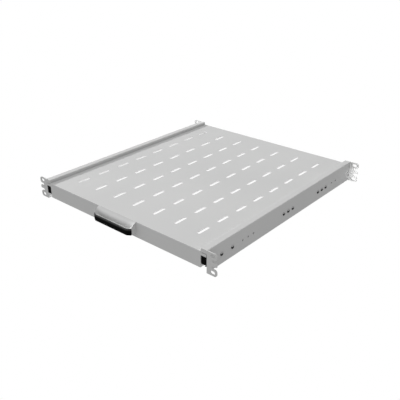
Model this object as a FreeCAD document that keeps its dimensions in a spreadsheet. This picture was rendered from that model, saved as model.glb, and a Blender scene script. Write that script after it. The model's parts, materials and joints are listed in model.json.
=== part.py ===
import FreeCAD, Part
import math
import os

V = FreeCAD.Vector
doc = FreeCAD.newDocument("sliding_rack_shelf")

# ---------------------------------------------------------------- dimensions
# Row frame: X across the rack, Y from front to back, Z up, millimetres.
# The rails stand on Z = 0 and the object is centred on X = 0 and Y = 0.
sheet = doc.addObject("Spreadsheet::Sheet", "dims")
DIMS = [
    ("shelf_depth", 500.0),        # front face to rear edge of the tray
    ("front_face", -241.05),      # tray front and front ear plane
    ("shelf_half", 206.3),         # half the width of the tray
    ("shelf_top", 38.0),           # height of the tray's upper face
    ("shelf_thick", 1.5),
    ("shelf_drop", 32.6),          # height of the turned-down flanges
    ("rear_drop", 15.0),           # height of the flange at the rear
    ("fold_round", 1.2),
    ("slot_long", 30.6),
    ("slot_wide", 6.6),
    ("slot_pitch", 55.0),
    ("slot_columns", 7),
    ("slot_rows", 8),
    ("slot_first", 56.75),         # front face to the first row
    ("rail_outer", 221.0),         # outer face of the rail wall
    ("rail_thick", 2.0),
    ("rail_high", 44.0),
    ("rail_lip", 207.0),           # inner edge of the rail flanges
    ("rail_round", 1.4),
    ("lip_low", 35.8),             # lower edge of the upper flange's turned-down lip
    ("tab_low", 36.6),             # lower edge of the tab that closes the rail's front end
    ("tab_under", 30.2),           # tabs beside the tray front, in front of the slides and above the caps
    ("tab_over", 35.4),
    ("tab_out", 218.4),
    ("foot_start", 22.0),          # front face to the start of the lower flange
    ("ear_outer", 241.3),          # half of the 482.6 mm rack width
    ("ear_hole", 232.55),          # half of the 465.1 mm hole spacing
    ("ear_rise", 15.875),          # half of the 31.75 mm hole spacing
    ("ear_slot_long", 10.0),
    ("ear_slot_wide", 6.8),
    ("ear_notch_low", 3.5),        # notch edges, above the middle height
    ("ear_notch_high", 8.75),
    ("ear_notch_in", 230.3),
    ("mid_height", 22.0),          # middle of rail and slides
    ("hole_height", 20.5),         # line of the holes in the rail wall
    ("slide_thick", 1.2),          # sheet of the slide members
    ("outer_half", 17.5),
    ("outer_start", 7.0),
    ("outer_long", 470.0),
    ("middle_half", 13.3),
    ("middle_start", 7.5),
    ("middle_long", 452.0),
    ("inner_half", 9.1),
    ("inner_start", 6.0),
    ("inner_long", 453.5),
    ("member_edge", 209.6),        # open edge of outer and middle member
    ("middle_back", 216.6),        # back of the middle member's web
    ("inner_edge", 213.2),         # open edge of the inner member
    ("cage_start", 120.0),
    ("cage_long", 220.0),
    ("cage_thick", 0.6),
    ("ball_radius", 1.2),
    ("ball_hole", 1.35),
    ("ball_pitch", 28.0),
    ("outer_ball_rise", 14.8),
    ("inner_ball_rise", 10.6),
    ("screw_head", 3.75),          # radius of the pan heads
    ("screw_rise", 2.4),
    ("screw_shank", 2.0),
    ("cup_middle", 0.0),           # middle of the pull
    ("cup_half", 50.0),
    ("cup_deep", 15.9),           # front face to the front of the lip
    ("cup_low", 14.8),
    ("cup_lip", 26.7),
    ("cup_knee", 31.2),
    ("cup_high", 37.2),
    ("cup_round", 8.0),            # plan corners
    ("dish_half", 46.0),
    ("dish_floor", 21.7),
    ("dish_knee", 29.6),
    ("grip_thick", 2.0),
    ("grip_top", 28.2),
    ("grip_end", 11.65),             # front face to the ends of the strip
]
for i, (word, value) in enumerate(DIMS):
    sheet.set("A%d" % (i + 1), word)
    sheet.set("B%d" % (i + 1), repr(value))
    sheet.setAlias("B%d" % (i + 1), word)
doc.recompute()
D = dict(DIMS)


def e(text):
    """Prefix every known word in an expression with the sheet's name."""
    out = ""
    word = ""
    for c in text + " ":
        if c.isalnum() or c == "_":
            word += c
        else:
            out += ("dims." + word) if word in D else word
            word = ""
            out += c
    return out.strip()


def place(o, x, y, z):
    for axis, text in (("x", x), ("y", y), ("z", z)):
        o.setExpression("Placement.Base." + axis, e(str(text)))


def box(name, x0, x1, y0, y1, z0, z1):
    o = doc.addObject("Part::Box", name)
    for prop, a, b in (("Length", x0, x1), ("Width", y0, y1), ("Height", z0, z1)):
        o.setExpression(prop, e("(%s) - (%s)" % (b, a)))
    place(o, x0, y0, z0)
    return o


TURN = {
    "x": FreeCAD.Rotation(V(0, 1, 0), 90),
    "y": FreeCAD.Rotation(V(1, 0, 0), -90),
    "z": FreeCAD.Rotation(),
}


def rod(name, axis, radius, length, x, y, z):
    o = doc.addObject("Part::Cylinder", name)
    o.setExpression("Radius", e(str(radius)))
    o.setExpression("Height", e(str(length)))
    o.Placement = FreeCAD.Placement(V(0, 0, 0), TURN[axis])
    place(o, x, y, z)
    return o


def group(name, items):
    o = doc.addObject("Part::Compound", name)
    o.Links = items
    return o


def fuse(name, items):
    o = doc.addObject("Part::MultiFuse", name)
    o.Shapes = items
    o.Refine = True
    return o


def cut(name, base, tool):
    o = doc.addObject("Part::Cut", name)
    o.Base = base
    o.Tool = tool
    o.Refine = True
    return o


def common(name, base, tool):
    o = doc.addObject("Part::Common", name)
    o.Base = base
    o.Tool = tool
    o.Refine = True
    return o


def mirror(name, source, normal=V(1, 0, 0), base=V(0, 0, 0)):
    o = doc.addObject("Part::Mirroring", name)
    o.Source = source
    o.Normal = normal
    o.Base = base
    return o


def rounded(name, base, wanted):
    """Round the edges of base whose middle point is within 0.2 mm of a wanted
    place. A wanted place is (x, y, z, radius), with None for any value."""
    doc.recompute()
    picked = []
    for i, edge in enumerate(base.Shape.Edges):
        m = edge.CenterOfMass
        for (x, y, z, r) in wanted:
            if all(w is None or abs(w - v) < 0.2
                   for w, v in ((x, m.x), (y, m.y), (z, m.z))):
                picked.append((i + 1, r, r))
                break
    assert picked, name
    o = doc.addObject("Part::Fillet", name)
    o.Base = base
    o.Edges = picked
    doc.recompute()
    assert not o.Shape.isNull() and o.Shape.isValid(), name
    return o


NODES = {}


def node(o, label):
    o.Label = label
    NODES[label] = o
    return o


def node_pair(o, label):
    """A right-hand piece and its mirror image on the left."""
    node(o, label + "_right")
    node(mirror(label + "_left", o), label + "_left")


F = D["front_face"]
REAR = F + D["shelf_depth"]
MIDY = (F + REAR) / 2.0
H = D["mid_height"]

# ---------------------------------------------------------------- shelf tray
body = doc.addObject("PartDesign::Body", "tray_body")


def sketch_on(owner, name, x, y, z):
    s = owner.newObject("Sketcher::SketchObject", name)
    place(s, x, y, z)
    return s


def rectangle(s, wide, deep, w0, d0):
    import Sketcher
    C = Sketcher.Constraint
    pts = [V(0, 0, 0), V(w0, 0, 0), V(w0, d0, 0), V(0, d0, 0)]
    for i in range(4):
        s.addGeometry(Part.LineSegment(pts[i], pts[(i + 1) % 4]), False)
    for i in range(4):
        s.addConstraint(C("Coincident", i, 2, (i + 1) % 4, 1))
    s.addConstraint(C("Horizontal", 0))
    s.addConstraint(C("Vertical", 1))
    s.addConstraint(C("Horizontal", 2))
    s.addConstraint(C("Vertical", 3))
    s.addConstraint(C("Coincident", 0, 1, -1, 1))
    a = s.addConstraint(C("DistanceX", 0, 1, 0, 2, w0))
    b = s.addConstraint(C("DistanceY", 1, 1, 1, 2, d0))
    s.setExpression("Constraints[%d]" % a, e(wide))
    s.setExpression("Constraints[%d]" % b, e(deep))


def slot_outline(s, long0, wide0):
    import Sketcher
    C = Sketcher.Constraint
    r, h = wide0 / 2.0, (long0 - wide0) / 2.0
    up = V(0, 0, 1)
    s.addGeometry(Part.ArcOfCircle(Part.Circle(V(0, h, 0), up, r), 0, math.pi), False)
    s.addGeometry(Part.ArcOfCircle(Part.Circle(V(0, -h, 0), up, r), math.pi, 2 * math.pi), False)
    s.addGeometry(Part.LineSegment(V(-r, h, 0), V(-r, -h, 0)), False)
    s.addGeometry(Part.LineSegment(V(r, -h, 0), V(r, h, 0)), False)
    s.addConstraint(C("Tangent", 0, 2, 2, 1))
    s.addConstraint(C("Tangent", 2, 2, 1, 1))
    s.addConstraint(C("Tangent", 1, 2, 3, 1))
    s.addConstraint(C("Tangent", 3, 2, 0, 1))
    s.addConstraint(C("Equal", 0, 1))
    s.addConstraint(C("PointOnObject", 0, 3, -2))
    s.addConstraint(C("Symmetric", 0, 3, 1, 3, -1, 1))
    a = s.addConstraint(C("Radius", 0, r))
    b = s.addConstraint(C("DistanceY", 1, 3, 0, 3, 2 * h))
    s.setExpression("Constraints[%d]" % a, e("slot_wide / 2"))
    s.setExpression("Constraints[%d]" % b, e("slot_long - slot_wide"))


outline = sketch_on(body, "tray_outline", "-shelf_half", "front_face", "shelf_top - shelf_drop")
rectangle(outline, "2 * shelf_half", "shelf_depth", 2 * D["shelf_half"], D["shelf_depth"])
blank = body.newObject("PartDesign::Pad", "tray_blank")
blank.Profile = outline
blank.setExpression("Length", e("shelf_drop"))
doc.recompute()
full = blank.Shape.Volume

inside = sketch_on(body, "tray_inside", "-shelf_half + shelf_thick",
                   "front_face + shelf_thick", "shelf_top - shelf_drop")
rectangle(inside, "2 * (shelf_half - shelf_thick)", "shelf_depth - 2 * shelf_thick",
          2 * (D["shelf_half"] - D["shelf_thick"]), D["shelf_depth"] - 2 * D["shelf_thick"])
hollow = body.newObject("PartDesign::Pocket", "tray_hollow")
hollow.Profile = inside
hollow.setExpression("Length", e("shelf_drop - shelf_thick"))
hollow.Reversed = True
doc.recompute()
assert hollow.Shape.Volume < 0.2 * full, "tray hollow"

first = sketch_on(body, "slot_sketch", "-slot_pitch * (slot_columns - 1) / 2",
                  "front_face + slot_first", "shelf_top")
slot_outline(first, D["slot_long"], D["slot_wide"])
slot = body.newObject("PartDesign::Pocket", "first_slot")
slot.Profile = first
slot.setExpression("Length", e("2 * shelf_thick"))
doc.recompute()
one = hollow.Shape.Volume - slot.Shape.Volume
slot_area = math.pi * (D["slot_wide"] / 2) ** 2 + (D["slot_long"] - D["slot_wide"]) * D["slot_wide"]
assert abs(one - slot_area * D["shelf_thick"]) < 1.0, "first slot"

grid = body.newObject("PartDesign::LinearPattern", "slot_grid")
grid.Originals = [slot]
grid.Direction = (first, ["H_Axis"])
grid.Mode = 0
grid.setExpression("Length", e("slot_pitch * (slot_columns - 1)"))
grid.setExpression("Occurrences", e("slot_columns"))
grid.Direction2 = (first, ["V_Axis"])
grid.Mode2 = 0
grid.setExpression("Length2", e("slot_pitch * (slot_rows - 1)"))
grid.setExpression("Occurrences2", e("slot_rows"))
body.Tip = grid
doc.recompute()
removed = hollow.Shape.Volume - grid.Shape.Volume
assert abs(removed - one * D["slot_columns"] * D["slot_rows"]) < 5.0, removed / one

TRAY_SCREW_Y = (60.0, 180.0, 300.0, 420.0)
PULL_SCREW_X = (D["cup_middle"] - 30.0, D["cup_middle"] + 30.0)
tray_holes = []
for i, y in enumerate(TRAY_SCREW_Y):
    for s, sx in (("r", "shelf_half - 4"), ("l", "-shelf_half - 4")):
        tray_holes.append(rod("tray_hole_%s%d" % (s, i), "x", "screw_shank + 0.2", 8,
                              sx, "front_face + %g" % y, "mid_height"))
for i, x in enumerate(PULL_SCREW_X):
    tray_holes.append(rod("tray_pull_hole_%d" % i, "y", "screw_shank + 0.2", 6,
                          x, "front_face - 2", 18))
tray_holes.append(box("tray_rear_relief", "-shelf_half + shelf_thick", "shelf_half - shelf_thick",
                      "front_face + shelf_depth - shelf_thick - 1", "front_face + shelf_depth + 1",
                      "shelf_top - shelf_drop - 1", "shelf_top - rear_drop"))
drilled = cut("tray_drilled", body, group("tray_holes", tray_holes))
top = D["shelf_top"]
half = D["shelf_half"]
bend = D["fold_round"]
low = top - D["shelf_thick"]
tray = rounded("tray_folded", drilled, [
    (0, F, top, bend), (0, REAR, top, bend),
    (half, MIDY, top, bend), (-half, MIDY, top, bend),
])
# The folded sheet in its five flat faces: the top with its folds, and the four flanges below it.
under = "shelf_top - shelf_thick"
inner = "shelf_half - shelf_thick"
node(common("tray_top", tray, box("tray_top_space", "-shelf_half - 1", "shelf_half + 1", "front_face - 1",
                                  "front_face + shelf_depth + 1", under, "shelf_top + 1")), "shelf_tray")
node(common("tray_face", tray, box("tray_face_space", "-shelf_half - 1", "shelf_half + 1", "front_face - 1",
                                   "front_face + shelf_thick", "-1", under)), "tray_front")
node(common("tray_tail", tray, box("tray_tail_space", "-(%s)" % inner, inner, "front_face + shelf_depth - shelf_thick",
                                   "front_face + shelf_depth + 1", "-1", under)), "tray_rear")
node_pair(common("tray_flank", tray, box("tray_flank_space", inner, "shelf_half + 1", "front_face + shelf_thick",
                                         "front_face + shelf_depth + 1", "-1", under)), "tray_side")
node_pair(box("tab_plate", "shelf_half", "tab_out", "front_face", "front_face + shelf_thick",
              "tab_under", "tab_over"), "front_tab")

# ----------------------------------------------------------------- side rail
blank_r = box("rail_blank", "rail_lip", "rail_outer", "front_face",
              "front_face + shelf_depth", 0, "rail_high")
hollow_r = box("rail_hollow", "rail_lip - 2", "rail_outer - rail_thick", "front_face - 2",
               "front_face + shelf_depth + 2", "rail_thick", "rail_high - rail_thick")
foot_relief = box("rail_foot_relief", "rail_lip - 2", "rail_outer - rail_thick", "front_face - 2",
                  "front_face + foot_start", "-1", "rail_thick + 1")
channel = fuse("rail_lipped", [
    cut("rail_channel", blank_r, group("rail_inside", [hollow_r, foot_relief])),
    box("rail_turned_lip", "rail_lip", "rail_lip + rail_thick", "front_face",
        "front_face + shelf_depth", "lip_low", "rail_high"),
    box("rail_front_tab", "rail_lip", "rail_outer - rail_thick", "front_face",
        "front_face + rail_thick", "tab_low", "rail_high")])
RO, RT, RH, RL = D["rail_outer"], D["rail_thick"], D["rail_high"], D["rail_lip"]
channel = rounded("rail_folded", channel, [
    (RO, MIDY, 0, D["rail_round"]), (RO, MIDY, RH, D["rail_round"]),
    (RL, MIDY, RH, D["rail_round"]),
])

ear = box("ear_plate", "rail_outer - rail_thick", "ear_outer", "front_face",
          "front_face + rail_thick", 0, "rail_high")
tools = []
for side, sign in (("upper", "+"), ("lower", "-")):
    mid = "mid_height %s ear_rise" % sign
    tools.append(box("ear_slot_%s" % side,
                     "ear_hole - (ear_slot_long - ear_slot_wide) / 2",
                     "ear_hole + (ear_slot_long - ear_slot_wide) / 2",
                     "front_face - 2", "front_face + rail_thick + 2",
                     "%s - ear_slot_wide / 2" % mid, "%s + ear_slot_wide / 2" % mid))
    for end, es in (("in", "-"), ("out", "+")):
        tools.append(rod("ear_slot_%s_%s" % (side, end), "y", "ear_slot_wide / 2", "rail_thick + 4",
                         "ear_hole %s (ear_slot_long - ear_slot_wide) / 2" % es,
                         "front_face - 2", mid))
    if sign == "+":
        z0, z1 = "mid_height + ear_notch_low", "mid_height + ear_notch_high"
    else:
        z0, z1 = "mid_height - ear_notch_high", "mid_height - ear_notch_low"
    r = "(ear_notch_high - ear_notch_low) / 2"
    tools.append(box("ear_notch_%s" % side, "ear_notch_in + %s" % r, "ear_outer + 2",
                     "front_face - 2", "front_face + rail_thick + 2", z0, z1))
    tools.append(rod("ear_notch_%s_end" % side, "y", r, "rail_thick + 4",
                     "ear_notch_in + %s" % r, "front_face - 2", "(%s + %s) / 2" % (z0, z1)))
ear_cut = cut("ear_cut", ear, fuse("ear_tools", tools))
EO = D["ear_outer"]
NL, NH = D["ear_notch_low"], D["ear_notch_high"]
EY = F + RT / 2
ear_front = rounded("ear_front", ear_cut, [
    (EO, EY, 0, 5.0), (EO, EY, RH, 5.0),
    (EO, EY, H + NH, 5.0), (EO, EY, H - NH, 5.0),
    (EO, EY, H + NL, 2.0), (EO, EY, H - NL, 2.0),
])
ear_rear = mirror("ear_rear", ear_front, V(0, 1, 0), V(0, MIDY, 0))
rail_full = fuse("rail_full", [channel, ear_front, ear_rear])
rail_full = rounded("rail_bent", rail_full, [
    (RO - RT, F, D["tab_low"] / 2, 1.2), (RO - RT, REAR, H, 1.2),
])

RAIL_SCREW_Y = (38.0, 68.0, 229.75, 245.75, 261.75, 359.25, 375.25, 391.25)
SMALL_HOLE_Y = (98.25, 114.25, 130.25, 417.75, 433.75)
REAR_HOLE_Y = 486.5
wall_tools = []
for i, y in enumerate(RAIL_SCREW_Y):
    wall_tools.append(rod("wall_screw_hole_%d" % i, "x", "screw_shank + 0.2", 8,
                          "rail_outer - 6", "front_face + %g" % y, "hole_height"))
for i, y in enumerate(SMALL_HOLE_Y):
    wall_tools.append(rod("wall_small_hole_%d" % i, "x", 2.1, 8,
                          "rail_outer - 6", "front_face + %g" % y, "hole_height"))
wall_tools.append(rod("wall_rear_hole", "x", 3.6, 8, "rail_outer - 6",
                      "front_face + %g" % REAR_HOLE_Y, "hole_height"))
wall_holes = group("wall_holes", wall_tools)
node_pair(cut("side_rail_right", rail_full, wall_holes), "side_rail")


# -------------------------------------------------------------- slide members
def member(name, x_web0, x_web1, x_open, half_word, start, length, web_side):
    """Channel of a slide member: web between x_web0 and x_web1, lips running
    from the web to x_open."""
    x0, x1 = (x_open, x_web1) if web_side == "out" else (x_web0, x_open)
    b = box(name + "_blank", x0, x1, "front_face + %s" % start,
            "front_face + %s + %s" % (start, length),
            "mid_height - %s" % half_word, "mid_height + %s" % half_word)
    hx0, hx1 = (x_open + " - 2", x_web0) if web_side == "out" else (x_web1, x_open + " + 2")
    h = box(name + "_hollow", hx0, hx1, "front_face + %s - 2" % start,
            "front_face + %s + %s + 2" % (start, length),
            "mid_height - %s + slide_thick" % half_word,
            "mid_height + %s - slide_thick" % half_word)
    return cut(name + "_channel", b, h)


wall_in = "rail_outer - rail_thick"
outer = member("outer", wall_in + " - slide_thick", wall_in, "member_edge",
               "outer_half", "outer_start", "outer_long", "out")
ox = RO - RT
oy = F + D["outer_start"] + D["outer_long"] / 2
outer = rounded("outer_rolled", outer, [
    (ox, oy, H - D["outer_half"], 1.8), (ox, oy, H + D["outer_half"], 1.8),
    (ox - 1.2, oy, H - D["outer_half"] + 1.2, 0.6), (ox - 1.2, oy, H + D["outer_half"] - 1.2, 0.6),
])
node_pair(cut("slide_outer_right", outer, wall_holes), "slide_outer")

middle = member("middle", "middle_back - slide_thick", "middle_back", "member_edge",
                "middle_half", "middle_start", "middle_long", "out")
mx = D["middle_back"]
my = F + D["middle_start"] + D["middle_long"] / 2
middle = rounded("middle_rolled", middle, [
    (mx, my, H - D["middle_half"], 1.8), (mx, my, H + D["middle_half"], 1.8),
    (mx - 1.2, my, H - D["middle_half"] + 1.2, 0.6), (mx - 1.2, my, H + D["middle_half"] - 1.2, 0.6),
])
access = [rod("middle_access_%d" % i, "x", 4.0, 6, "middle_back - 3",
              "front_face + %g" % y, "hole_height") for i, y in enumerate((38.0, 245.75, 375.25))]
node_pair(cut("slide_middle_right", middle, group("middle_holes", access)), "slide_middle")

inner = member("inner", "shelf_half", "shelf_half + slide_thick", "inner_edge",
               "inner_half", "inner_start", "inner_long", "in")
ix = D["shelf_half"]
iy = F + D["inner_start"] + D["inner_long"] / 2
inner = rounded("inner_rolled", inner, [
    (ix, iy, H - D["inner_half"], 1.8), (ix, iy, H + D["inner_half"], 1.8),
    (ix + 1.2, iy, H - D["inner_half"] + 1.2, 0.6), (ix + 1.2, iy, H + D["inner_half"] - 1.2, 0.6),
])
inner_holes = [rod("inner_hole_%d" % i, "x", "screw_shank + 0.1", 6, "shelf_half - 2",
                   "front_face + %g" % y, "mid_height") for i, y in enumerate(TRAY_SCREW_Y)]
node_pair(cut("slide_inner_right", inner, group("inner_holes", inner_holes)), "slide_inner")


# ---------------------------------------------------------- ball cages, balls
def cage(name, x_web1, x_open, rise, x_ball):
    """Thin channel that holds one row of balls above and one below."""
    half_word = "(%s + cage_thick / 2)" % rise
    b = box(name + "_blank", x_open, x_web1, "front_face + cage_start",
            "front_face + cage_start + cage_long",
            "mid_height - %s" % half_word, "mid_height + %s" % half_word)
    h = box(name + "_hollow", x_open + " - 2", x_web1 + " - cage_thick",
            "front_face + cage_start - 2", "front_face + cage_start + cage_long + 2",
            "mid_height - %s + cage_thick" % half_word, "mid_height + %s - cage_thick" % half_word)
    seats, balls = [], []
    for i in range(8):
        y = "front_face + cage_start + 12 + ball_pitch * %d" % i
        seats.append(rod("%s_seat_%d" % (name, i), "z", "ball_hole", 40, x_ball, y, "mid_height - 20"))
        for s, sign in (("upper", "+"), ("lower", "-")):
            o = doc.addObject("Part::Sphere", "%s_ball_%s_%d" % (name, s, i))
            o.setExpression("Radius", e("ball_radius"))
            place(o, x_ball, y, "mid_height %s %s" % (sign, rise))
            balls.append(o)
    c = cut(name + "_right", cut(name + "_channel", b, h), group(name + "_seats", seats))
    node_pair(c, name)
    node_pair(group(name + "_balls_right", balls), name.replace("ball_cage", "balls"))


cage("outer_ball_cage", "middle_back + 0.9", "member_edge + 0.5", "outer_ball_rise", "212.5")
cage("inner_ball_cage", "middle_back - slide_thick - 0.4", "member_edge - 0.6", "inner_ball_rise", "211")

# -------------------------------------------------------- caps and rear stops
cap_front = box("cap_front", "shelf_half + slide_thick + 0.1", "rail_outer - rail_thick - 0.4",
                "front_face + 0.5", "front_face + inner_start", "mid_height - 9", "mid_height + 7.5")
cap_plug = box("cap_plug", "shelf_half + slide_thick + 0.1", "inner_edge - 0.2",
               "front_face + inner_start", "front_face + inner_start + 10",
               "mid_height - inner_half + slide_thick + 0.4", "mid_height + inner_half - slide_thick - 0.4")
cap = fuse("cap_whole", [cap_front, cap_plug])
cx0, cx1 = D["shelf_half"] + D["slide_thick"] + 0.1, RO - RT - 0.4
cap = rounded("front_cap_right", cap, [
    ((cx0 + cx1) / 2, F + 0.5, H - 9.0, 0.8), ((cx0 + cx1) / 2, F + 0.5, H + 7.5, 0.8),
    (cx0, F + 0.5, H, 0.8), (cx1, F + 0.5, H, 0.8),
])
node_pair(cap, "front_cap")

stop = box("rear_stop_block", "member_edge + 0.7", "rail_outer - rail_thick - slide_thick",
           "front_face + 461", "front_face + 473", "mid_height - 12", "mid_height + 12")
sx0, sx1 = D["member_edge"] + 0.7, RO - RT - D["slide_thick"]
stop = rounded("rear_bumper_right", stop, [
    ((sx0 + sx1) / 2, F + 461, H - 12, 2.0), ((sx0 + sx1) / 2, F + 461, H + 12, 2.0),
])
node_pair(stop, "rear_bumper")


# -------------------------------------------------------------------- screws
def screw(name, shank):
    """Pan-head screw standing on Z = 0 with its head upwards."""
    head = rod(name + "_head", "z", "screw_head", "screw_rise", 0, 0, 0)
    dome = doc.addObject("Part::Sphere", name + "_dome")
    dome.Radius = 4.9
    dome.Placement.Base = V(0, 0, 2.4 - 4.9)
    crown = doc.addObject("Part::MultiCommon", name + "_crown")
    crown.Shapes = [head, dome]
    stem = rod(name + "_stem", "z", "screw_shank", str(shank), 0, 0, -shank)
    whole = fuse(name + "_whole", [crown, stem])
    arms = fuse(name + "_cross", [
        box(name + "_arm_a", -2.2, 2.2, -0.5, 0.5, 1.1, 4),
        box(name + "_arm_b", -0.5, 0.5, -2.2, 2.2, 1.1, 4)])
    return cut(name, whole, arms)


def copies(name, source, turn, spots):
    """Separate solids of one fastener at the given places."""
    links = []
    for i, (x, y, z) in enumerate(spots):
        o = doc.addObject("App::Link", "%s_%d" % (name, i))
        o.LinkedObject = source
        o.Placement = FreeCAD.Placement(V(x, y, z), turn)
        links.append(o)
    return group(name, links)


rail_screw = screw("rail_screw", 3.1)
node_pair(copies("rail_screws_right", rail_screw, FreeCAD.Rotation(V(0, 1, 0), 90),
                 [(RO, F + y, D["hole_height"]) for y in RAIL_SCREW_Y]), "rail_screws")

tray_screw = screw("tray_screw", 2.6)
node_pair(copies("tray_screws_right", tray_screw, FreeCAD.Rotation(V(0, 1, 0), -90),
                 [(half - D["shelf_thick"], F + y, H) for y in TRAY_SCREW_Y]), "tray_screws")

pull_screw = screw("pull_screw", 9.0)
node(copies("pull_screws_all", pull_screw, FreeCAD.Rotation(V(1, 0, 0), -90),
            [(x, F + D["shelf_thick"], 18.0) for x in PULL_SCREW_X]), "pull_screws")


# ------------------------------------------------------- pull cup, grip strip
def wedge(name, x_half, z0, z1, front0, back0, front1, back1):
    """Block that runs from z0 to z1, with its own front and back at each end,
    all counted forwards from the tray's front face."""
    o = doc.addObject("Part::Wedge", name)
    o.Placement = FreeCAD.Placement(V(0, 0, 0), FreeCAD.Rotation(V(1, 0, 0), 90))
    left, right = "cup_middle - (%s)" % x_half, "cup_middle + %s" % x_half
    for prop, text in (
            ("Xmin", left), ("Xmax", right), ("X2min", left), ("X2max", right),
            ("Ymin", z0), ("Ymax", z1),
            ("Zmin", "-front_face + %s" % back0), ("Zmax", "-front_face + %s" % front0),
            ("Z2min", "-front_face + %s" % back1), ("Z2max", "-front_face + %s" % front1)):
        o.setExpression(prop, e(str(text)))
    return o


def round_block(name, x_half, deep, back, z0, z1, radius):
    """Upright block in front of the tray, with its two front corners rounded."""
    b = box(name + "_block", "cup_middle - (%s)" % x_half, "cup_middle + %s" % x_half,
            "front_face - (%s)" % deep, "front_face - (%s)" % back, z0, z1)
    doc.recompute()
    picked = []
    for i, edge in enumerate(b.Shape.Edges):
        m = edge.CenterOfMass
        ends = [v.Point for v in edge.Vertexes]
        if abs(ends[0].z - ends[1].z) > 1 and abs(m.y - b.Shape.BoundBox.YMin) < 0.01:
            picked.append((i + 1, radius, radius))
    assert len(picked) == 2, name
    o = doc.addObject("Part::Fillet", name)
    o.Base = b
    o.Edges = picked
    doc.recompute()
    assert o.Shape.isValid() and not o.Shape.isNull(), name
    return o


CR = D["cup_round"]
plan = round_block("cup_plan", "cup_half", "cup_deep", "0", "cup_low", "rail_high", CR)
profile = fuse("cup_profile", [
    box("cup_base", "cup_middle - cup_half", "cup_middle + cup_half", "front_face - cup_deep",
        "front_face", "cup_low", "cup_lip"),
    wedge("cup_slope_low", "cup_half", "cup_lip", "cup_knee", "cup_deep", "0", "9", "0"),
    wedge("cup_slope_high", "cup_half", "cup_knee", "cup_high", "9", "0", "0.6", "0")])
cup_whole = doc.addObject("Part::MultiCommon", "cup_whole")
cup_whole.Shapes = [profile, plan]
dish = fuse("dish_scoop", [
    wedge("dish_low", "dish_half", "dish_floor", "dish_knee", "cup_deep - 2", "10.6", "cup_deep - 2", "7.2"),
    wedge("dish_high", "dish_half", "dish_knee", "38", "cup_deep - 2", "7.2", "cup_deep - 2", "0.2")])

band = round_block("grip_outline", "cup_half + grip_thick", "cup_deep + grip_thick", "0",
                   "cup_low", "grip_top", CR + D["grip_thick"])
crown = []
for i, edge in enumerate(band.Shape.Edges):
    m = edge.CenterOfMass
    if abs(m.z - D["grip_top"]) < 0.01 and m.y < F - 0.5:
        crown.append((i + 1, 0.9, 0.9))
band_round = doc.addObject("Part::Chamfer", "grip_crowned")
band_round.Base = band
band_round.Edges = crown
doc.recompute()
assert band_round.Shape.isValid() and not band_round.Shape.isNull(), "grip"
below = round_block("grip_seat", "cup_half", "cup_deep", "-1", "cup_low - 1", "cup_lip", CR)
within = round_block("grip_mouth", "cup_half - 2", "cup_deep - 2", "-1", "cup_low - 1", "rail_high", CR - 2)
behind = box("grip_behind", "cup_middle - cup_half - 5", "cup_middle + cup_half + 5",
             "front_face - grip_end", "front_face + 1", "cup_low - 1", "grip_top + 1")
grip = cut("grip_whole", band_round, group("grip_inside", [below, within, behind]))
node(grip, "grip_strip")

cup_open = cut("cup_open", cup_whole, dish)
cup_clear = cut("cup_clear", cup_open, grip)
pull_holes = [rod("cup_hole_%d" % i, "y", "screw_shank + 0.05", 7.6, x, "front_face - 7.6", 18)
              for i, x in enumerate(PULL_SCREW_X)]
node(cut("pull_cup", cup_clear, group("cup_holes", pull_holes)), "pull_cup")

# -------------------------------------------------------------------- checks
doc.recompute()
for o in doc.Objects:
    assert "Invalid" not in o.State and "Error" not in o.State, (o.Name, o.State)
os.makedirs("parts", exist_ok=True)
for label, o in NODES.items():
    shape = o.Shape
    assert not shape.isNull() and shape.isValid(), label
    assert len(label) < 60
    shape.exportStep("parts/%s.step" % label)
    bb = shape.BoundBox
    print("%-22s solids %2d  volume %10.1f  x %8.2f %8.2f  y %8.2f %8.2f  z %6.2f %6.2f" % (
        label, len(shape.Solids), shape.Volume, bb.XMin, bb.XMax, bb.YMin, bb.YMax, bb.ZMin, bb.ZMax))
print("nodes", len(NODES))
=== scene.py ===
import json
import math

import bmesh
import bpy
from mathutils import Matrix, Vector


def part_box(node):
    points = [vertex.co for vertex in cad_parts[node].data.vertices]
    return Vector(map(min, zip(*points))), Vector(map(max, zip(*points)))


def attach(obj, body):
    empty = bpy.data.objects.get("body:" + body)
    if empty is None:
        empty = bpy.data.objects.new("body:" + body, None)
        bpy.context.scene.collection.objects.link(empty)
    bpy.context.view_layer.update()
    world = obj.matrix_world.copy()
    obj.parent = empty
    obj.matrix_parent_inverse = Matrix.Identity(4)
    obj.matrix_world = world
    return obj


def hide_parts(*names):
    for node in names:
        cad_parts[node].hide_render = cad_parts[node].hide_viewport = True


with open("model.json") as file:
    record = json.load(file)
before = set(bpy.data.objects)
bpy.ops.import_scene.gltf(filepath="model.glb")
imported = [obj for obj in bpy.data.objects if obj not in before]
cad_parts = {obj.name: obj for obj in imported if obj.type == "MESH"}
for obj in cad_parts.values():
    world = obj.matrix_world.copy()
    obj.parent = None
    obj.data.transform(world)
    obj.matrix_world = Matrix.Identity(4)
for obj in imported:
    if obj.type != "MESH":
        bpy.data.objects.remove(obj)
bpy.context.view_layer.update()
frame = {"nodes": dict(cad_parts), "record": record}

nodes = frame["nodes"]
scene = bpy.context.scene
scene.view_settings.view_transform = "Standard"
scene.view_settings.look = "None"
scene.view_settings.exposure = 0.0
scene.view_settings.gamma = 1.0


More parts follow.
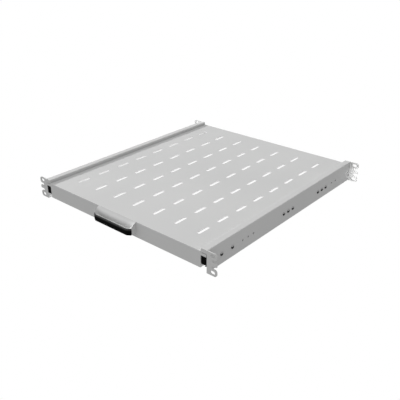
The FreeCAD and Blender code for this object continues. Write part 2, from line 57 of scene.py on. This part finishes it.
# ------------------------------------------------------------------ materials
class Mat:
    """A Principled material with helpers for procedural detail in the row frame."""

    def __init__(self, name):
        self.m = bpy.data.materials.new(name)
        self.m.use_nodes = True
        self.t = self.m.node_tree
        self.t.nodes.clear()
        out = self.t.nodes.new("ShaderNodeOutputMaterial")
        self.b = self.t.nodes.new("ShaderNodeBsdfPrincipled")
        self.t.links.new(self.b.outputs["BSDF"], out.inputs["Surface"])
        self.coord = self.t.nodes.new("ShaderNodeTexCoord")

    def link(self, a, b):
        self.t.links.new(a, b)

    def mapped(self, scale):
        n = self.t.nodes.new("ShaderNodeMapping")
        n.inputs["Scale"].default_value = scale
        self.link(self.coord.outputs["Object"], n.inputs["Vector"])
        return n.outputs["Vector"]

    def noise(self, scale, detail=2.0, rough=0.5, stretch=(1, 1, 1)):
        n = self.t.nodes.new("ShaderNodeTexNoise")
        n.inputs["Scale"].default_value = scale
        n.inputs["Detail"].default_value = detail
        n.inputs["Roughness"].default_value = rough
        self.link(self.mapped(stretch), n.inputs["Vector"])
        return n.outputs["Fac"]

    def voronoi(self, scale, stretch=(1, 1, 1)):
        n = self.t.nodes.new("ShaderNodeTexVoronoi")
        n.inputs["Scale"].default_value = scale
        self.link(self.mapped(stretch), n.inputs["Vector"])
        return n.outputs["Distance"]

    def ramp(self, fac, stops):
        n = self.t.nodes.new("ShaderNodeValToRGB")
        els = n.color_ramp.elements
        while len(els) < len(stops):
            els.new(0.5)
        for el, (pos, col) in zip(els, stops):
            el.position = pos
            el.color = (*col, 1.0) if len(col) == 3 else col
        self.link(fac, n.inputs["Fac"])
        return n.outputs["Color"]

    def remap(self, fac, a0, a1, b0, b1):
        n = self.t.nodes.new("ShaderNodeMapRange")
        n.inputs["From Min"].default_value = a0
        n.inputs["From Max"].default_value = a1
        n.inputs["To Min"].default_value = b0
        n.inputs["To Max"].default_value = b1
        self.link(fac, n.inputs["Value"])
        return n.outputs["Result"]

    def blend(self, fac, a, b, mode="MIX"):
        n = self.t.nodes.new("ShaderNodeMix")
        n.data_type = "RGBA"
        n.blend_type = mode
        if isinstance(fac, float):
            n.inputs[0].default_value = fac
        else:
            self.link(fac, n.inputs[0])
        for value, socket in ((a, n.inputs[6]), (b, n.inputs[7])):
            if isinstance(value, tuple):
                socket.default_value = (*value, 1.0)
            else:
                self.link(value, socket)
        return n.outputs[2]

    def bump(self, layers):
        """layers: (height, strength, distance in metres), the coarsest first."""
        last = None
        for height, strength, distance in layers:
            n = self.t.nodes.new("ShaderNodeBump")
            n.inputs["Strength"].default_value = strength
            n.inputs["Distance"].default_value = distance
            self.link(height, n.inputs["Height"])
            if last is not None:
                self.link(last, n.inputs["Normal"])
            last = n.outputs["Normal"]
        self.link(last, self.b.inputs["Normal"])

    def edge(self, radius, low, high):
        """1 on convex and concave edges within the radius, 0 on the flat."""
        n = self.t.nodes.new("ShaderNodeBevel")
        n.samples = 6
        n.inputs["Radius"].default_value = radius
        g = self.t.nodes.new("ShaderNodeNewGeometry")
        d = self.t.nodes.new("ShaderNodeVectorMath")
        d.operation = "DOT_PRODUCT"
        self.link(n.outputs["Normal"], d.inputs[0])
        self.link(g.outputs["Normal"], d.inputs[1])
        return self.remap(d.outputs["Value"], low, high, 1.0, 0.0)

    def colour(self, out):
        self.link(out, self.b.inputs["Base Color"])

    def rough(self, out):
        self.link(out, self.b.inputs["Roughness"])

    def set(self, **values):
        for key, value in values.items():
            self.b.inputs[key.replace("_", " ")].default_value = value


def grey(v):
    return (v, v, v)


def powder_coat():
    """Light grey powder coat: a fine pebbled skin with slow drifts in tone, a little paler on edges, partly where the
    coat thins and partly a painted edge highlight.
    """
    m = Mat("powder_coat_light_grey")
    drift = m.noise(5.0, 3.0, 0.55)
    speck = m.noise(2600.0, 2.0, 0.6)
    tone = m.ramp(drift, [(0.30, (0.577, 0.579, 0.577)), (0.70, (0.607, 0.608, 0.605))])
    fleck = m.ramp(speck, [(0.30, grey(0.93)), (0.62, grey(1.0))])
    skin = m.blend(0.6, tone, fleck, "MULTIPLY")
    # paler on edges: partly a thinned coat, partly a painted edge highlight
    edge = m.edge(0.0007, 0.86, 0.985)
    rub = m.remap(m.noise(160.0, 3.0, 0.6), 0.42, 0.66, 0.0, 0.5)
    edge_wear_and_highlight = m.blend(edge, grey(0.0), rub)
    m.colour(m.blend(edge_wear_and_highlight, skin, (0.70, 0.70, 0.695)))
    m.rough(m.remap(m.noise(900.0, 2.0), 0.3, 0.7, 0.56, 0.70))
    m.set(Specular_IOR_Level=0.30)
    m.bump([
        (m.noise(420.0, 2.0, 0.5), 0.10, 0.00015),
        (m.noise(1700.0, 1.0, 0.5), 0.16, 0.00006),
    ])
    return m.m


def zinc():
    """Bright zinc plating over rolled strip: long streaks with a faint tint."""
    m = Mat("bright_zinc")
    m.set(Metallic=1.0)
    streak = m.noise(260.0, 3.0, 0.6, (1, 0.03, 1))
    cloud = m.noise(28.0, 3.0, 0.6)
    body = m.ramp(streak, [(0.25, (0.56, 0.575, 0.59)), (0.75, (0.72, 0.73, 0.735))])
    tint = m.ramp(cloud, [(0.30, (0.93, 0.96, 1.0)), (0.55, (1.0, 1.0, 1.0)), (0.75, (1.0, 0.97, 0.90))])
    m.colour(m.blend(0.7, body, tint, "MULTIPLY"))
    m.rough(m.remap(m.noise(180.0, 2.0, 0.5, (1, 0.06, 1)), 0.3, 0.7, 0.24, 0.40))
    m.bump([(m.noise(900.0, 2.0, 0.5, (1, 0.02, 1)), 0.10, 0.00005)])
    return m.m


def cage_strip():
    """Thin rolled strip of the ball cages, duller than the slide members."""
    m = Mat("rolled_cage_strip")
    m.set(Metallic=1.0)
    streak = m.noise(420.0, 3.0, 0.6, (1, 0.04, 1))
    m.colour(m.ramp(streak, [(0.3, (0.36, 0.37, 0.38)), (0.7, (0.50, 0.51, 0.52))]))
    m.rough(m.remap(m.noise(300.0, 2.0), 0.3, 0.7, 0.32, 0.48))
    m.bump([(m.noise(1200.0, 2.0, 0.5, (1, 0.05, 1)), 0.10, 0.00004)])
    return m.m


def ball_steel():
    """Polished balls with a thin film of grease."""
    m = Mat("polished_ball_steel")
    m.set(Metallic=1.0)
    film = m.noise(700.0, 2.0)
    m.colour(m.ramp(film, [(0.3, (0.62, 0.62, 0.62)), (0.7, (0.78, 0.78, 0.79))]))
    m.rough(m.remap(film, 0.3, 0.7, 0.08, 0.20))
    return m.m


def black_plastic():
    """Moulded black plastic with a fine spark-eroded grain; faces that look up are painted paler grey, a painted sheen.
    """
    m = Mat("moulded_black_plastic")
    cloud = m.noise(60.0, 3.0)
    body = m.ramp(cloud, [(0.3, grey(0.0012)), (0.7, grey(0.0028))])
    grain = m.noise(2200.0, 2.0, 0.6)
    up = m.t.nodes.new("ShaderNodeSeparateXYZ")
    g = m.t.nodes.new("ShaderNodeNewGeometry")
    m.link(g.outputs["Normal"], up.inputs["Vector"])
    # painted sheen: the paler grey grows as the face turns upward
    painted_sheen = m.remap(up.outputs["Z"], 0.03, 0.48, 0.0, 1.0)
    m.colour(m.blend(painted_sheen, body, m.ramp(m.noise(300.0, 3.0), [(0.3, grey(0.075)), (0.7, grey(0.095))])))
    m.rough(m.remap(grain, 0.3, 0.7, 0.50, 0.66))
    m.set(Specular_IOR_Level=0.03)
    m.bump([(m.voronoi(1500.0), 0.22, 0.00006), (grain, 0.12, 0.00004)])
    return m.m


def black_rubber():
    """Dull rubber with a dusty bloom."""
    m = Mat("dull_black_rubber")
    bloom = m.noise(140.0, 4.0, 0.65)
    m.colour(m.ramp(bloom, [(0.35, grey(0.012)), (0.75, grey(0.026))]))
    m.rough(m.remap(bloom, 0.3, 0.7, 0.72, 0.9))
    m.set(Specular_IOR_Level=0.3)
    m.bump([(m.noise(1600.0, 2.0), 0.2, 0.00008)])
    return m.m


def black_oxide():
    """Black-oxide steel screws, slightly oily, with a painted highlight: the upper half of each head is painted pale.
    """
    m = Mat("black_oxide_screw")
    m.set(Metallic=0.3, Specular_IOR_Level=0.4)
    film = m.noise(500.0, 3.0)
    dark = m.ramp(film, [(0.3, grey(0.006)), (0.7, grey(0.014))])
    painted_highlight = m.ramp(m.noise(900.0, 2.0), [(0.3, grey(0.34)), (0.7, grey(0.50))])
    xyz = m.t.nodes.new("ShaderNodeSeparateXYZ")
    m.link(m.coord.outputs["Object"], xyz.inputs["Vector"])
    # painted highlight: each head is painted pale above a set height and stays dark below it
    m.colour(m.blend(m.remap(xyz.outputs["Z"], 0.0213, 0.0224, 0.0, 1.0), dark, painted_highlight))
    m.rough(m.remap(film, 0.3, 0.7, 0.30, 0.46))
    m.bump([(m.noise(1800.0, 2.0), 0.08, 0.00004)])
    return m.m


FINISH = {
    "grey_paint": powder_coat(),
    "zinc": zinc(),
    "cage_steel": cage_strip(),
    "ball_steel": ball_steel(),
    "black_plastic": black_plastic(),
    "black_rubber": black_rubber(),
    "black_screw": black_oxide(),
}
for part in frame["record"]["subparts"]:
    o = nodes[part["node"]]
    o.data.materials.clear()
    o.data.materials.append(FINISH[part["material_slot"]])

# ----------------------------------------------------------------------- pull
MM = 0.001
cup_low, cup_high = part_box("pull_cup")
tray_low, tray_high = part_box("shelf_tray")
PULL_X = (cup_low[0] + cup_high[0]) / 2.0      # middle of the pull
FRONT = tray_low[1]                            # front face of the tray
DEEP, BASE = 15.9, cup_low[2] / MM
BEND_X, HALF, END_U = 43.0, 51.2, 10.9         # the front turns back at BEND_X and ends at (HALF, END_U)
TURN = math.atan2(DEEP - END_U, HALF - BEND_X)
ROUND = 4.0                                    # radius of that turn
ARC_X = BEND_X - ROUND * math.tan(TURN / 2.0)
ARC_U = DEEP - ROUND


def at(x, u, z):
    """x from the middle of the pull, u forward of the tray's front face, z up, in millimetres."""
    return (PULL_X + x * MM, FRONT - u * MM, z * MM)


def smooth(a, b, v):
    t = min(1.0, max(0.0, (v - a) / (b - a)))
    return t * t * (3.0 - 2.0 * t)


def curve(points):
    """A smooth line through the points that doesn't overshoot between them."""
    xs = [p[0] for p in points]
    ys = [p[1] for p in points]
    n = len(xs)
    h = [xs[i + 1] - xs[i] for i in range(n - 1)]
    s = [(ys[i + 1] - ys[i]) / h[i] for i in range(n - 1)]
    m = [s[0]] + [0.0] * (n - 2) + [s[-1]]
    for i in range(1, n - 1):
        if s[i - 1] * s[i] > 0:
            a, b = 2 * h[i] + h[i - 1], h[i] + 2 * h[i - 1]
            m[i] = (a + b) / (a / s[i - 1] + b / s[i])

    def f(x):
        x = min(max(x, xs[0]), xs[-1])
        i = max(k for k in range(n - 1) if xs[k] <= x or k == 0)
        t = (x - xs[i]) / h[i]
        return ((1 + 2 * t) * (1 - t) ** 2 * ys[i] + t * (1 - t) ** 2 * h[i] * m[i]
                + t * t * (3 - 2 * t) * ys[i + 1] + t * t * (t - 1) * h[i] * m[i + 1])

    return f


TUCK_U, TUCK_Z = -0.25, 37.54                  # where the pull runs out on the tray's front fold
ramp_line = curve([(TUCK_U, TUCK_Z), (1.4, 35.5), (3.2, 33.8), (4.8, 32.2), (5.9, 30.7), (6.7, 29.0), (7.2, 27.0),
                   (7.45, 25.0), (7.6, 23.2), (8.0, 21.6), (9.0, 20.6), (10.5, 20.3), (12.2, 20.6), (13.1, 22.0),
                   (13.5, 24.0), (13.8, 26.0), (14.05, 27.0), (14.4, 27.4), (15.0, 27.45), (15.9, 27.0)])
cheek_line = curve([(TUCK_U, TUCK_Z), (1.5, 36.2), (3.5, 35.0), (5.5, 33.8), (7.2, 32.7), (9.0, 31.3), (11.0, 29.8),
                    (13.0, 28.5), (14.5, 27.9), (15.9, 27.6)])


def reach(x):
    """How far forward the pull's outline goes at x."""
    d = abs(x) - ARC_X
    if d <= 0:
        return DEEP
    if d <= ROUND * math.sin(TURN):
        return ARC_U + math.sqrt(ROUND * ROUND - d * d)
    return END_U + (HALF - abs(x)) * math.tan(TURN)


def cup_top(x, u):
    t = max(0.0, abs(x) - 31.0) / (HALF - 31.0)
    return ramp_line(u) + (cheek_line(u) - ramp_line(u)) * t * t


def piece(name, verts, faces, body, slot, stands_for, sharp=35.0):
    me = bpy.data.meshes.new(name)
    me.from_pydata(verts, [], faces)
    me.validate()
    bm = bmesh.new()
    bm.from_mesh(me)
    bmesh.ops.recalc_face_normals(bm, faces=bm.faces)
    for e in bm.edges:
        e.smooth = len(e.link_faces) == 2 and e.calc_face_angle() < math.radians(sharp)
    for f in bm.faces:
        f.smooth = True
    bm.to_mesh(me)
    bm.free()
    o = bpy.data.objects.new(name, me)
    scene.collection.objects.link(o)
    me.materials.append(FINISH[slot])
    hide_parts(stands_for)
    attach(o, body)
    return o


def cup_shell():
    cols = sorted({round(HALF * math.sin(math.pi / 2 * i / 44.0), 4) * s for i in range(45) for s in (1, -1)})
    steps = [0.0, 0.4, 0.9, 1.6, 2.3, 3.0, 3.7, 4.3, 4.8, 5.3, 5.7, 6.1, 6.4, 6.7, 6.95, 7.15, 7.3, 7.42, 7.52, 7.62, 7.8,
             8.1, 8.5, 9.0, 9.7, 10.5, 11.3, 12.0, 12.6, 13.0, 13.25, 13.45, 13.6, 13.75, 13.9, 14.05, 14.25, 14.5, 15.0,
             15.5, 15.9]
    verts, faces, top = [], [], []
    for x in cols:
        row, far = [], reach(x)
        for k, s in enumerate(steps):
            u = s * far / DEEP
            z = cup_top(x, u)
            if k == 0:
                u, z = TUCK_U, TUCK_Z
            if k == len(steps) - 1:
                z -= 0.25
            row.append(len(verts))
            verts.append(at(x, u, z))
        top.append(row)
    low = []
    back = []
    for i, x in enumerate(cols):
        zb = 36.8
        back.append(len(verts))
        verts.append(at(x, 0.0, zb))
    for i, x in enumerate(cols):
        low.append((len(verts), len(verts) + 1))
        verts.append(at(x, 0.0, BASE))
        verts.append(at(x, reach(x), BASE))
    n, r = len(cols), len(steps)
    for i in range(n - 1):
        for k in range(r - 1):
            faces.append((top[i][k], top[i + 1][k], top[i + 1][k + 1], top[i][k + 1]))
        faces.append((top[i][r - 1], top[i + 1][r - 1], low[i + 1][1], low[i][1]))
        faces.append((back[i], back[i + 1], top[i + 1][0], top[i][0]))
        faces.append((low[i][0], low[i + 1][0], back[i + 1], back[i]))
        faces.append((low[i][0], low[i][1], low[i + 1][1], low[i + 1][0]))
    for i in (0, n - 1):
        faces.append([low[i][0], back[i], *top[i], low[i][1]])
    return piece("pull_cup_shell", verts, faces, "tray", "grey_paint", "pull_cup", 40.0)


def grip_band():
    side = []                                  # half of the outline, from the middle of the turn to the end
    for k in range(9):
        a = TURN * k / 8.0
        side.append((ARC_X + ROUND * math.sin(a), ARC_U + ROUND * math.cos(a), math.sin(a), math.cos(a)))
    x0, u0 = side[-1][:2]
    for k in range(1, 7):
        side.append((x0 + (HALF - x0) * k / 6.0, u0 + (END_U - u0) * k / 6.0, math.sin(TURN), math.cos(TURN)))
    path = [(-x, u, -nx, nu) for x, u, nx, nu in reversed(side)]     # point and the direction outward
    for k in range(1, 24):
        path.append((-ARC_X + 2 * ARC_X * k / 24.0, DEEP, 0.0, 1.0))
    path += side
    low = BASE - 0.5
    section = [(0.0, low), (1.4, low), (1.8, low + 0.17), (1.95, low + 0.4), (2.0, low + 0.7), (2.0, 18.7), (2.0, 22.7)]
    for k in range(1, 11):
        a = math.pi / 2 * k / 10.0
        section.append((2.0 * math.cos(a), 22.7 + 5.0 * math.sin(a)))
    section += [(0.0, 26.4), (0.0, 20.7)]
    ends = [(0.0, 0.35, 0.55), (0.25, 0.75, 0.8), (0.6, 0.94, 0.94)]
    mid_z = 21.0

    def ring(p, thick=1.0, tall=1.0):
        return [(p[0] + p[2] * o * thick, p[1] + p[3] * o * thick, mid_z + (z - mid_z) * tall) for o, z in section]

    def slide(p, q, mm):
        d = math.hypot(q[0] - p[0], q[1] - p[1])
        f = mm / d
        return tuple(a + (b - a) * f for a, b in zip(p, q))

    rings = [ring(slide(path[0], path[1], mm), th, tl) for mm, th, tl in ends]
    rings += [ring(p) for p in path[1:-1]]
    rings += [ring(slide(path[-1], path[-2], mm), th, tl) for mm, th, tl in reversed(ends)]
    verts, faces, idx = [], [], []
    for pts in rings:
        idx.append(list(range(len(verts), len(verts) + len(pts))))
        verts += [at(*p) for p in pts]
    m = len(section)
    for a, b in zip(idx, idx[1:]):
        for k in range(m):
            j = (k + 1) % m
            faces.append((a[k], b[k], b[j], a[j]))
    faces.append(tuple(idx[0]))
    faces.append(tuple(idx[-1]))
    return piece("grip_band", verts, faces, "tray", "black_plastic", "grip_strip", 40.0)


cup_shell()
grip_band()

# ---------------------------------------------------------------------- stage
floor_mesh = bpy.data.meshes.new("floor")
s = 14.0
floor_mesh.from_pydata([(x, y, z) for z in (-0.0005, 2.0 * s) for x, y in ((-s, -s), (s, -s), (s, s), (-s, s))],
                       [], [(0, 1, 2, 3)] + [(i, (i + 1) % 4, (i + 1) % 4 + 4, i + 4) for i in range(4)])
floor = bpy.data.objects.new("floor", floor_mesh)
scene.collection.objects.link(floor)
white = bpy.data.materials.new("white_floor")
white.use_nodes = True
wt = white.node_tree
wt.nodes.clear()
w_out = wt.nodes.new("ShaderNodeOutputMaterial")
w_emit = wt.nodes.new("ShaderNodeEmission")
w_emit.inputs["Color"].default_value = (1, 1, 1, 1)
w_emit.inputs["Strength"].default_value = 1.0
wt.links.new(w_emit.outputs[0], w_out.inputs["Surface"])
floor_mesh.materials.append(white)
floor.visible_diffuse = False
floor.visible_glossy = False
floor.visible_shadow = False

under_mesh = bpy.data.meshes.new("under_light")
glow_at = [(-0.2, 0.2, -0.235, 0.25, 0.0003), (-0.2185, -0.2075, -0.239, -0.21, 0.0023), (0.2075, 0.2185, -0.239, -0.21, 0.0023)]
under_mesh.from_pydata([v for x0, x1, y0, y1, z in glow_at for v in ((x0, y0, z), (x1, y0, z), (x1, y1, z), (x0, y1, z))],
                       [], [(4 * i, 4 * i + 1, 4 * i + 2, 4 * i + 3) for i in range(3)])
under = bpy.data.objects.new("under_light", under_mesh)
scene.collection.objects.link(under)
glow = bpy.data.materials.new("under_glow")
glow.use_nodes = True
gt = glow.node_tree
gt.nodes.clear()
g_out = gt.nodes.new("ShaderNodeOutputMaterial")
g_emit = gt.nodes.new("ShaderNodeEmission")
g_emit.inputs["Color"].default_value = (1, 1, 1, 1)
g_emit.inputs["Strength"].default_value = 2.0
gt.links.new(g_emit.outputs[0], g_out.inputs["Surface"])
under_mesh.materials.append(glow)
under.visible_camera = False
under.visible_shadow = False

# a flag keeps the low key off the outer side of the left rail and of the open tray
flag_mesh = bpy.data.meshes.new("key_flag")
flag_mesh.from_pydata([(-0.26, -0.80, 0.0), (-0.26, 0.50, 0.0), (-0.26, 0.50, 0.057), (-0.26, -0.80, 0.057)], [], [(0, 1, 2, 3)])
flag = bpy.data.objects.new("key_flag", flag_mesh)
scene.collection.objects.link(flag)
black = bpy.data.materials.new("black_flag")
black.use_nodes = True
black.node_tree.nodes["Principled BSDF"].inputs["Base Color"].default_value = (0.02, 0.02, 0.02, 1)
flag_mesh.materials.append(black)
flag.visible_camera = False
flag.visible_diffuse = False
flag.visible_glossy = False
flag.visible_transmission = False

world = bpy.data.worlds.new("studio")
scene.world = world
world.use_nodes = True
bg = world.node_tree.nodes["Background"]
bg.inputs["Color"].default_value = (1.0, 1.0, 1.0, 1)
wn = world.node_tree
w_dir = wn.nodes.new("ShaderNodeTexCoord")
w_dot = wn.nodes.new("ShaderNodeVectorMath")
w_dot.operation = "DOT_PRODUCT"
w_dot.inputs[1].default_value = (0.0, -0.07, 0.165)      # brighter above and a little brighter in front
w_sum = wn.nodes.new("ShaderNodeMath")
w_sum.operation = "ADD"
w_sum.inputs[1].default_value = 0.56
wn.links.new(w_dir.outputs["Generated"], w_dot.inputs[0])
wn.links.new(w_dot.outputs["Value"], w_sum.inputs[0])
wn.links.new(w_sum.outputs["Value"], bg.inputs["Strength"])


def area(name, at, to, size, power):
    d = bpy.data.lights.new(name, "AREA")
    d.shape = "DISK"
    d.size = size
    d.energy = power
    o = bpy.data.objects.new(name, d)
    scene.collection.objects.link(o)
    o.location = at
    o.rotation_euler = (Vector(to) - Vector(at)).to_track_quat("-Z", "Y").to_euler()
    return o


def spot(name, at, to, cone, power):
    d = bpy.data.lights.new(name, "SPOT")
    d.spot_size = math.radians(cone)
    d.spot_blend = 1.0
    d.shadow_soft_size = 0.02
    d.energy = power
    o = bpy.data.objects.new(name, d)
    scene.collection.objects.link(o)
    o.location = at
    o.rotation_euler = (Vector(to) - Vector(at)).to_track_quat("-Z", "Y").to_euler()
    return o


spot("rear_right", (0.285, 0.0, 0.06), (0.249, 0.2589, 0.016), 13.5, 4.2)
rear_left = spot("rear_left", (-0.36, 0.08, 0.13), (-0.232, 0.2589, 0.034), 20.0, 1.6)
past_flag = bpy.data.collections.new("past_flag")
past_flag.objects.link(flag)
past_flag.collection_objects[0].light_linking.link_state = "EXCLUDE"
rear_left.light_linking.blocker_collection = past_flag
area("key_left", (-8.18, 0.0, 3.25), (0, 0, 0.03), 0.78, 690.0)

# --------------------------------------------------------------------- camera
cam = bpy.data.cameras.new("camera")
cam.lens = 50.0
cam.sensor_width = 36.0
cam.clip_start = 0.01
cam.clip_end = 60.0
eye = bpy.data.objects.new("camera", cam)
scene.collection.objects.link(eye)
turn = (Matrix.Rotation(math.radians(40.725), 4, "Z")
        @ Matrix.Rotation(math.radians(90.0 - 26.356), 4, "X")
        @ Matrix.Rotation(math.radians(-0.088), 4, "Z"))
eye.matrix_world = Matrix.Translation(Vector((0.71770, -0.836070, 0.52058))) @ turn
scene.camera = eye
